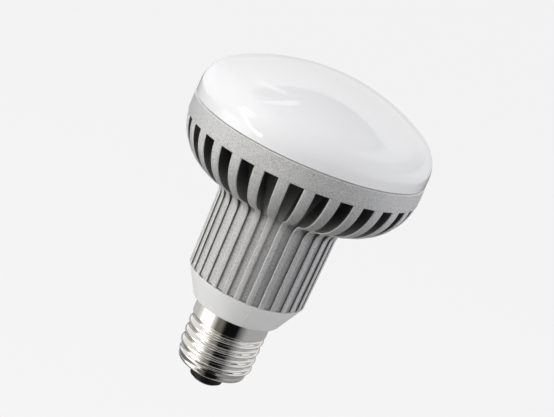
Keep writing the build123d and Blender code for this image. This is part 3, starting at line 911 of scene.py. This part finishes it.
def gloss_strip(name, points):
    """A glowing strip between pairs of points that gloss alone sees; gives its mesh, tree and glow."""
    pairs = len(points) // 2
    faces = [(2 * pair, 2 * pair + 2, 2 * pair + 3, 2 * pair + 1) for pair in range(pairs - 1)]
    mesh = bpy.data.meshes.new(name)
    mesh.from_pydata(points, [], faces)
    board = bpy.data.materials.new(name)
    board.use_nodes = True
    tree = board.node_tree
    tree.nodes.remove(tree.nodes["Principled BSDF"])
    glow = tree.nodes.new("ShaderNodeEmission")
    tree.links.new(glow.outputs[0], tree.nodes["Material Output"].inputs["Surface"])
    mesh.materials.append(board)
    made = bpy.data.objects.new(name, mesh)
    bpy.context.scene.collection.objects.link(made)
    made.visible_camera = False
    made.visible_diffuse = False
    made.visible_transmission = False
    made.visible_shadow = False
    return mesh, tree, glow


def reflection_card(name, first_edge, last_edge, tones):
    """A card round the lamp between two rings of radius and height, seen by gloss alone.

    Its tone runs between the given azimuths.
    """
    points = []
    colors = []
    for step in range(CARD_STEPS + 1):
        azimuth = tones[0][0] + (tones[-1][0] - tones[0][0]) * step / CARD_STEPS
        reach = azimuth - AZIMUTH_SLACK
        after = next(index for index in range(1, len(tones)) if reach <= tones[index][0])
        first, first_tone = tones[after - 1]
        last, last_tone = tones[after]
        share = (azimuth - first) / (last - first)
        tone = [a + (b - a) * share for a, b in zip(first_tone, last_tone)]
        for distance, height in (first_edge, last_edge):
            place = (distance * cos(radians(azimuth)), distance * sin(radians(azimuth)), height)
            points.append(Vector(place) * MM)
            colors += [*tone, 1]
    mesh, tree, glow = gloss_strip(name, points)
    painted = mesh.color_attributes.new("tone", "FLOAT_COLOR", "POINT")
    painted.data.foreach_set("color", colors)
    paint = tree.nodes.new("ShaderNodeAttribute")
    paint.attribute_name = "tone"
    tree.links.new(paint.outputs["Color"], glow.inputs["Color"])


WARM = (0.90, 0.89, 0.87)
DIM_WINDOW = (1.2, 1.18, 1.14)
SOFT_WINDOW = (2.7, 2.66, 2.57)
WINDOW = (2.9, 2.85, 2.75)
BRIGHT_WINDOW = (3.4, 3.34, 3.22)
OLIVE = (0.17, 0.165, 0.145)
PALE_HAZE = (0.95, 0.94, 0.90)
HAZE = (0.66, 0.65, 0.62)
DIM_HAZE = (0.46, 0.455, 0.44)
BLACK = (0.005, 0.005, 0.005)
CEILING_TONE = (0.02, 0.02, 0.02)
DUSK = (0.30, 0.30, 0.31)
COOL = (0.44, 0.44, 0.45)
GREY = (0.60, 0.60, 0.60)
SLATE = (0.52, 0.525, 0.55)
DIM_SKY = (0.76, 0.76, 0.77)
SKY = (1.05, 1.055, 1.09)
BRIGHT_SKY = (1.3, 1.31, 1.35)


def surround(left, window, side, front, right, far, back):
    """The tones round the lamp: a window on the left, a dark front, paler right and back."""
    return (
        (-207, back),
        (-186, left),
        (-174, window),
        (-149, window),
        (-138, WARM),
        (-124, side),
        (-110, side),
        (-98, front),
        (-62, front),
        (-31, right),
        (34, right),
        (62, far),
        (95, far),
        (125, back),
        (153, back),
    )


around_foot = surround(DUSK, DIM_WINDOW, OLIVE, BLACK, DUSK, DUSK, OLIVE)
around_cap = surround(WARM, WINDOW, OLIVE, BLACK, COOL, COOL, GREY)
around_neck = surround(WARM, BRIGHT_WINDOW, PALE_HAZE, BLACK, BRIGHT_SKY, COOL, GREY)
around_rim = surround(GREY, SOFT_WINDOW, DIM_HAZE, BLACK, SLATE, OLIVE, DUSK)
around_dome = surround(WARM, SKY, HAZE, DUSK, SKY, DIM_SKY, SKY)
around_top = surround(WARM, WARM, COOL, DUSK, COOL, WARM, WARM)
around_slope = surround(WARM, WARM, OLIVE, BLACK, WARM, WARM, WARM)
around_ceiling = ((-180, CEILING_TONE), (180, CEILING_TONE))
wall_cards = (
    ("foot card", CARD_BOTTOM, -195, around_foot),
    ("low card", -195, -105, around_cap),
    ("middle card", -105, -40, around_neck),
    ("upper card", -40, 32, around_rim),
    ("high card", 32, 170, around_dome),
    ("top card", 170, CARD_TOP, around_top),
)
reflection_card("floor card", (UNDER_RADIUS, CARD_BOTTOM), (CARD_RADIUS, CARD_BOTTOM), around_foot)
for name, bottom, top, tones in wall_cards:
    reflection_card(name, (CARD_RADIUS, bottom), (CARD_RADIUS, top), tones)
reflection_card("sloped card", (CARD_RADIUS, CARD_TOP), (CEILING_RADIUS, CEILING_HEIGHT), around_slope)
reflection_card("ceiling card", (0, CEILING_HEIGHT), (CEILING_RADIUS, CEILING_HEIGHT), around_ceiling)
reflection_card("under card", (0, CARD_BOTTOM), (UNDER_RADIUS, CARD_BOTTOM), around_ceiling)

STREAK_CENTER = Vector((-15, -20, 105))
STREAK_DISTANCE = 380
WINDOW_PATH = ((-166, 13), (-158, 5), (-152, -3), (-145, -11), (-138, -14), (-132, -14))
UPPER_PATH = ((180, 55), (174, 60), (153, 66), (118, 64), (106, 64))
FAR_PATH = ((119, 40), (118, 43), (117, 50), (112, 56))


def direction(azimuth, elevation):
    """The unit vector that points to an azimuth and an elevation."""
    level = cos(radians(elevation))
    return Vector((level * cos(radians(azimuth)), level * sin(radians(azimuth)), sin(radians(elevation))))


def streak(name, path, half_width, radiance):
    """A slim bright card along a path of azimuth and elevation, for the window's streaks on the dome."""
    aims = [direction(azimuth, elevation) for azimuth, elevation in path]
    points = []
    for index, aim in enumerate(aims):
        along = aims[min(index + 1, len(aims) - 1)] - aims[max(index - 1, 0)]
        across = aim.cross(along).normalized() * half_width
        points.append((STREAK_CENTER + (aim - across) * STREAK_DISTANCE) * MM)
        points.append((STREAK_CENTER + (aim + across) * STREAK_DISTANCE) * MM)
    glow = gloss_strip(name, points)[2]
    glow.inputs["Strength"].default_value = radiance


streak("window streak", WINDOW_PATH, half_width=0.045, radiance=5.0)
streak("first slat", ((-166, 12), (-159, 13.5), (-150, 12.5)), half_width=0.024, radiance=7.0)
streak("second slat", ((-167, 20), (-159, 21.5), (-149, 20)), half_width=0.022, radiance=6.0)
streak("third slat", ((-169, 28), (-162, 29.5), (-156, 29)), half_width=0.015, radiance=1.8)
streak("upper streak", UPPER_PATH, half_width=0.03, radiance=1.6)
streak("far streak", FAR_PATH, half_width=0.02, radiance=1.5)

LIGHT_DISTANCE = 900
LAMP_MIDDLE = Vector((0, 0, 65))


def softbox(name, azimuth, elevation, side, power, color):
    """A soft square light that faces the lamp's middle; gloss sees the cards in its place."""
    light = bpy.data.lights.new(name, "AREA")
    light.shape = "RECTANGLE"
    light.size = side * MM
    light.size_y = side * MM
    light.energy = power
    light.color = color
    around = direction(azimuth, elevation)
    made = bpy.data.objects.new(name, light)
    made.location = (LAMP_MIDDLE + around * LIGHT_DISTANCE) * MM
    made.rotation_euler = around.to_track_quat("Z", "Y").to_euler()
    made.visible_glossy = False
    bpy.context.scene.collection.objects.link(made)


softbox("window light", -160, 6, side=500, power=5.6, color=(1.0, 0.99, 0.98))
softbox("right light", -14, 26, side=600, power=2.9, color=(0.97, 0.98, 1.0))
softbox("front light", -88, 48, side=600, power=3.3, color=(1.0, 1.0, 1.0))
softbox("back light", 100, 50, side=600, power=1.3, color=(1.0, 1.0, 1.0))

# Camera: above the lamp and looking a little down at it, rolled so that the lamp leans as it is pictured.
# Its lens is set by the width of the picture and the focal length in the picture's pixels.
VIEW_POINT = Vector((-22.60, -446.06, 194.284))
VIEW_RIGHT = Vector((0.91958, 0.06725, 0.38710))
VIEW_UP = Vector((-0.39011, 0.27351, 0.87921))
VIEW_AHEAD = Vector((0.04674, 0.95951, -0.27775))
FOCAL_PIXELS = 1426.06
PICTURE_WIDTH = 554
SENSOR_WIDTH = 36.0
CLIP_END = 100.0

camera = bpy.data.objects.new("camera", bpy.data.cameras.new("camera"))
bpy.context.scene.collection.objects.link(camera)
camera.data.sensor_fit = "HORIZONTAL"
camera.data.sensor_width = SENSOR_WIDTH
camera.data.lens = SENSOR_WIDTH * FOCAL_PIXELS / PICTURE_WIDTH
camera.data.clip_end = CLIP_END
view_turn = Matrix((VIEW_RIGHT, VIEW_UP, -VIEW_AHEAD)).transposed()
camera.matrix_world = Matrix.Translation(VIEW_POINT * MM) @ view_turn.to_4x4()
bpy.context.scene.camera = camera
bpy.context.scene.view_settings.view_transform = "Standard"
